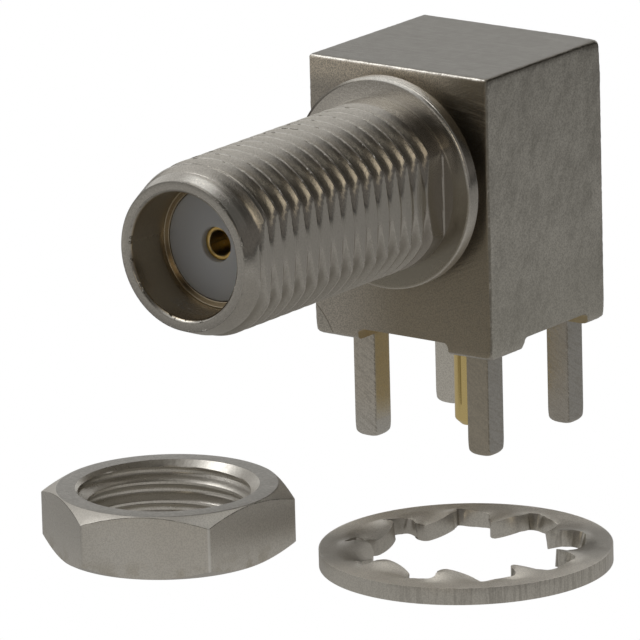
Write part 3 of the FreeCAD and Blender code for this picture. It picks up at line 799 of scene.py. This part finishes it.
WASHER_OUTER, WASHER_ROOT, WASHER_TIP, WASHER_THICK = 5.147, 4.20, 3.25, 0.60
TOOTH_TIP_HALF, TOOTH_ROOT_HALF, TIP_TWIST = 0.575, 0.85, 20.0
MOST_LIFT = TOOTH_TIP_HALF * math.sin(math.radians(TIP_TWIST)) - 0.022
WASHER_X, WASHER_Y, WASHER_Z, WASHER_TURN = 10.10, -14.43, -3.521, math.radians(21.3)
ON_WASHER = (Matrix.Translation(Vector((WASHER_X, WASHER_Y, WASHER_Z)) * MM)
             @ Matrix.Rotation(WASHER_TURN, 4, "Z"))


def on_circle(radius, degrees):
    return Vector((radius * math.cos(math.radians(degrees)), radius * math.sin(math.radians(degrees))))


# One ninth of the inner edge, from the middle of a gap to the middle of a tooth and its mirror image
edge = [on_circle(WASHER_ROOT, d) for d in np.linspace(-20.0, -16.6, 6)]
bends = [on_circle(WASHER_ROOT, -15.6), Vector((WASHER_ROOT - 0.02, -TOOTH_ROOT_HALF - 0.02)),
         Vector((3.88, -0.79)), Vector((WASHER_TIP + 0.02, -0.74)), Vector((WASHER_TIP, 0.0))]
for start, middle, end in (bends[:3], bends[2:]):
    edge += [start * (1 - t) ** 2 + middle * 2 * t * (1 - t) + end * t ** 2
             for t in np.linspace(0.0, 1.0, 15)[:-1]]
edge.append(bends[-1])
edge += [Vector((place.x, -place.y)) for place in reversed(edge[:-1])]


def bent(place):
    """Lift a point of the flat blank: each tooth twists about its middle line, more and more to its tip."""
    radius, degrees = place.length, math.degrees(math.atan2(place.y, place.x))
    share = min(max((4.60 - radius) / 1.20, 0.0), 1.0)
    fade = min(max((20.0 - abs(degrees)) / 9.0, 0.0), 1.0)
    twist = math.radians(TIP_TWIST) * share ** 2 * (3 - 2 * share) * fade ** 2 * (3 - 2 * fade)
    lift = min(max(place.y * math.sin(twist), -MOST_LIFT), MOST_LIFT)
    return Vector((place.x, place.y * math.cos(twist), -lift))


levels = [0.0, 0.06, 0.2, 0.34, 0.46, 0.56, 0.64, 0.71, 0.77, 0.82, 0.87, 0.91, 0.95, 0.98, 1.0]
points = [bent(on_circle(WASHER_OUTER, degrees).lerp(place, level)) * MM
          for place, degrees in zip(edge, np.linspace(-20.0, 20.0, len(edge))) for level in levels]
sector = new_mesh("sector", points, grid_faces(len(edge), len(levels)))

washer_finish = Finish("nickel_on_washer", DULL_NICKEL, 0.34)
flat = washer_finish.up.unsigned().above(0.3, 0.7)
washer_finish.relief(washer_finish.noise((5.0, 5.0, 0.8)) * (1.0 - flat), 0.007)
washer_finish.relief(washer_finish.even_noise(2.2, 2.0), 0.007)
washer_finish.relief(washer_finish.even_noise(10.0, 2.0), 0.004)
washer_finish.relief(washer_finish.even_noise(0.9, 1.0) * flat, 0.03)
# The flat faces painted darker, and painted lighter towards the near and far sides of the ring along the
# view, as the light falls on them; the edges lighter, and darker towards low X
washer_finish.stain(flat, (0.49, 0.47, 0.435))
away = ((washer_finish.y - WASHER_Y) * math.cos(VIEW_TURN)
        - (washer_finish.x - WASHER_X) * math.sin(VIEW_TURN)).unsigned()
washer_finish.stain(away.above(0.9, 3.3) * flat, (0.98, 0.94, 0.87))
washer_finish.stain(1.0 - flat, (0.74, 0.715, 0.66))
washer_finish.stain(washer_finish.x.below(5.6, 8.2) * (1.0 - flat) * 0.8, (0.42, 0.395, 0.355))
sheared = washer_finish.noise((7.0, 7.0, 0.6), detail=5.0, roughness=0.75).above(0.45, 0.60)
washer_finish.stain(sheared * washer_finish.x.above(8.0, 13.0) * (1.0 - flat) * 0.5, (0.42, 0.40, 0.36))
washer_finish.speckle(0.20)
washer_finish.rough(washer_finish.even_noise(3.0) * 0.16 + 0.26 + flat * 0.10)


def thicken(carrier):
    solid = carrier.modifiers.new("thick", "SOLIDIFY")
    solid.thickness = WASHER_THICK * MM
    solid.offset = 0.0
    tumbled = carrier.modifiers.new("tumbled", "BEVEL")
    tumbled.width = 0.05 * MM
    tumbled.segments = 3
    tumbled.limit_method = "ANGLE"
    tumbled.angle_limit = math.radians(50.0)


washer = applied(run_rule(repeat_round, sector, {"Count": 9}, washer_finish), thicken)
washer.transform(ON_WASHER)
piece("lock_washer", washer, washer_finish, ["lock_washer"], 40.0)


# Camera, floor and light
# The camera stands where the photograph was taken from. The floor is pale, and a soft studio tent lights
# the metal: a bright wall behind, a bright ceiling, and the darker room round the camera.

camera = bpy.data.objects.new("camera", bpy.data.cameras.new("camera"))
bpy.context.scene.collection.objects.link(camera)
bpy.context.scene.camera = camera
camera.data.lens = 500.95
camera.data.sensor_width = 36.0
camera.data.clip_start = 0.01
picture_right, picture_up = (0.8054, 0.5922, -0.0252), (-0.1371, 0.2274, 0.9641)
towards_camera, camera_place = (0.5767, -0.7730, 0.2643), (0.1842025, -0.2559609, 0.0866523)
looking = Matrix((picture_right, picture_up, towards_camera)).transposed().to_4x4()
camera.matrix_world = Matrix.Translation(camera_place) @ looking


def lit_tree(owner, seen, lights, output):
    """A material or world that the camera sees in one light and the metal mirrors in another."""
    owner.use_nodes = True
    tree = owner.node_tree
    tree.nodes.clear()
    ray = add(tree, "ShaderNodeLightPath").outputs["Is Camera Ray"]
    both = add(tree, "ShaderNodeMixShader", {0: ray, 1: lights(tree), 2: add(tree, seen, {
        "Color": (1.0, 1.0, 1.0, 1.0), "Strength": 1.0}).outputs[0]})
    add(tree, output, {0: both.outputs[0]})


def floor_light(tree):
    """Pale paper that glows, painted darker far out and behind, with a painted shadow of the barrel and nut
    in front and a painted pool of light farther out.
    """
    place = in_millimetres(tree)
    x, y, _ = parts(tree, place)
    strength = 0.36 - distance(tree, place, (0.0, -6.0, 0.0)).above(62.0, 120.0) * 0.26
    strength = strength - distance(tree, place, (-15.0, -29.0, 0.0)).below(9.0, 20.0) * 0.13
    strength = strength + distance(tree, place, (-33.0, -46.0, 0.0)).below(3.0, 10.5) * 0.28
    strength = strength - (x * 0.6 + y * 0.8).above(12.0, 30.0) * 0.09
    return add(tree, "ShaderNodeEmission", {"Color": (1.0, 0.97, 0.92, 1.0),
                                            "Strength": strength}).outputs[0]


floor = bpy.data.objects.new("floor", box_mesh(
    "floor", (-300, -300, LEG_END - 1), (300, 300, LEG_END), Matrix()))
bpy.context.scene.collection.objects.link(floor)
paper = bpy.data.materials.new("paper")
lit_tree(paper, "ShaderNodeEmission", floor_light, "ShaderNodeOutputMaterial")
floor.data.materials.append(paper)

# Soft round patches of the tent: azimuth from -Y towards +X, elevation, inner and outer size, colour
PATCHES = [
    (-90.0, 64.0, 14.0, 42.0, (0.62, 0.61, 0.59)),
    (80.0, 56.0, 14.0, 36.0, (0.055, 0.053, 0.048)),
    (-50.0, 38.0, 10.0, 45.0, (0.66, 0.65, 0.63)),
    (-143.0, 8.0, 22.0, 50.0, (0.66, 0.65, 0.63)),
    (155.0, 28.0, 12.0, 30.0, (0.03, 0.028, 0.024)),
    *[(azimuth, elevation, 2.0, 6.0, (2.1, 2.05, 1.93)) for azimuth, elevation in (
        (-150.0, 53.0), (-168.0, 56.0), (173.0, 58.0), (154.0, 59.0))],
    (10.0, 30.0, 10.0, 26.0, (0.03, 0.026, 0.02)),
    (17.0, 13.0, 3.0, 11.0, (1.10, 0.96, 0.74)),
]


def tent_light(tree):
    look = add(tree, "ShaderNodeTexCoord").outputs["Generated"]
    shade = (0.14, 0.13, 0.12, 1.0)
    for azimuth, elevation, inner, outer, colour in PATCHES:
        a, e = math.radians(azimuth), math.radians(elevation)
        centre = (math.sin(a) * math.cos(e), -math.cos(a) * math.cos(e), math.sin(e))
        near = add(tree, "ShaderNodeVectorMath", {0: look, 1: centre}, operation="DOT_PRODUCT")
        share = Term(tree, near.outputs["Value"]).above(math.cos(math.radians(outer)),
                                                        math.cos(math.radians(inner)))
        shade = add(tree, "ShaderNodeMix", {0: share, 6: shade, 7: (*colour, 1.0)},
                    data_type="RGBA").outputs[2]
    return add(tree, "ShaderNodeBackground", {"Color": shade, "Strength": 1.0}).outputs[0]


world = bpy.data.worlds.new("studio")
bpy.context.scene.world = world
lit_tree(world, "ShaderNodeBackground", tent_light, "ShaderNodeOutputWorld")

softbox = bpy.data.objects.new("softbox", bpy.data.lights.new("softbox", "AREA"))
bpy.context.scene.collection.objects.link(softbox)
softbox.data.size = 0.11
softbox.data.energy = 0.075
softbox.location = (-0.155, -0.075, 0.235)
softbox.rotation_euler = (Vector((0.0, -0.008, 0.0)) - softbox.location).to_track_quat("-Z", "Y").to_euler()

bpy.context.scene.view_settings.view_transform = "Standard"
